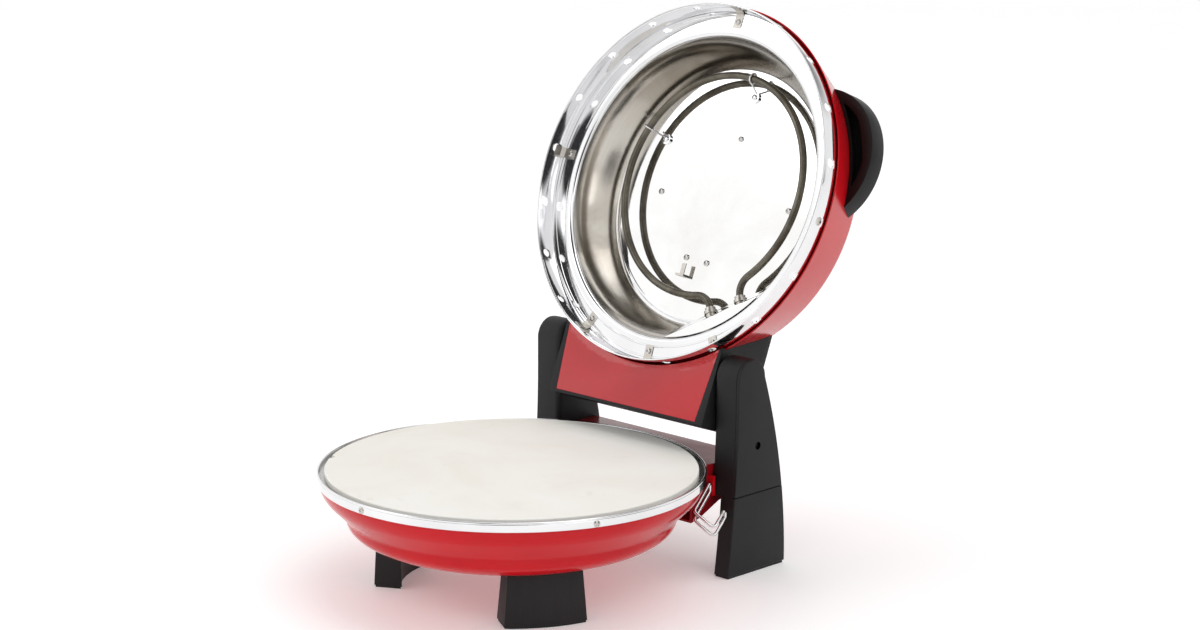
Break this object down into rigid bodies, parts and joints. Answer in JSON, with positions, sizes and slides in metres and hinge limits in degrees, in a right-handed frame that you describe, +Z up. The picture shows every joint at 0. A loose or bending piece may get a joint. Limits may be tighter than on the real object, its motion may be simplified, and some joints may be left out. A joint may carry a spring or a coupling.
{
  "type": "electric pizza maker",
  "caption": "Round countertop cooker with a baking stone on a shallow pan and a domed heated lid hinged open between two uprights.",
  "frame": {"origin": "on the table, straight below the middle of the baking stone", "axes": "+Z up, -Y the front, +Y the hinge side, +X the side that the handle leans to"},
  "size_m": [0.3407, 0.5095, 0.4875],
  "materials": {
    "red_enamel": "gloss red enamel on pressed steel, slight orange peel",
    "housing_red": "duller dark red paint on folded steel",
    "chrome_trim": "bright plated steel",
    "mirror_disc": "polished sheet with light scratches",
    "reflector_steel": "bright rolled sheet",
    "satin_steel": "satin sheet, browned by heat",
    "screw_steel": "plated cross-head screws",
    "heater_tube": "dark oxidised heater sheath",
    "baking_stone": "matt pale cordierite with faint stains",
    "black_plastic": "fine textured black plastic",
    "cover_plastic": "fine textured black plastic",
    "rubber_pads": "soft matt rubber",
    "white_ceramic": "white glazed ceramic"
  },
  "bodies": {
    "base": {"base_pan": "red_enamel", "rim_band": "chrome_trim", "rim_screws": "screw_steel", "lower_reflector": "reflector_steel", "lower_element": "heater_tube", "lower_element_collars": "satin_steel", "lower_element_stands": "satin_steel", "thermal_cutout": "satin_steel", "rear_housing": "housing_red", "housing_cover": "housing_red", "housing_screws": "screw_steel", "cord_gland": "black_plastic", "terminal_block": "white_ceramic", "left_front_foot": "black_plastic", "right_front_foot": "black_plastic", "foot_screws": "screw_steel", "foot_pads": "rubber_pads", "left_leg": "black_plastic", "right_leg": "black_plastic", "left_post": "black_plastic", "right_post": "black_plastic", "left_post_cover": "cover_plastic", "right_post_cover": "cover_plastic", "post_cover_screws": "screw_steel", "hinge_pins": "satin_steel", "left_wire_hook": "chrome_trim", "right_wire_hook": "chrome_trim", "hook_lugs": "housing_red"},
    "lid": {"lid_shell": "red_enamel", "lid_skirt": "chrome_trim", "bowl_reflector": "satin_steel", "disc_reflector": "mirror_disc", "disc_screws": "screw_steel", "disc_spacers": "satin_steel", "sensor_bracket": "satin_steel", "upper_element": "heater_tube", "upper_element_collars": "satin_steel", "upper_element_clips": "chrome_trim", "terminal_shield": "mirror_disc", "rim_clips": "satin_steel", "rim_clip_screws": "screw_steel", "lid_handle": "black_plastic", "handle_screws": "screw_steel", "hinge_box": "black_plastic", "hinge_panel": "red_enamel", "hinge_box_screws": "screw_steel"},
    "stone": {"baking_stone": "baking_stone"}
  },
  "joints": [
    {"name": "lid_hinge", "type": "hinge", "parent": "base", "child": "lid", "pos_m": [0, 0.1782, 0.1536], "axis": [1, 0, 0], "range_deg": [0, 111.75]},
    {"name": "stone_lift", "type": "slide", "parent": "base", "child": "stone", "axis": [0, 0, 1], "range_m": [0, 0.0145]}
  ]
}
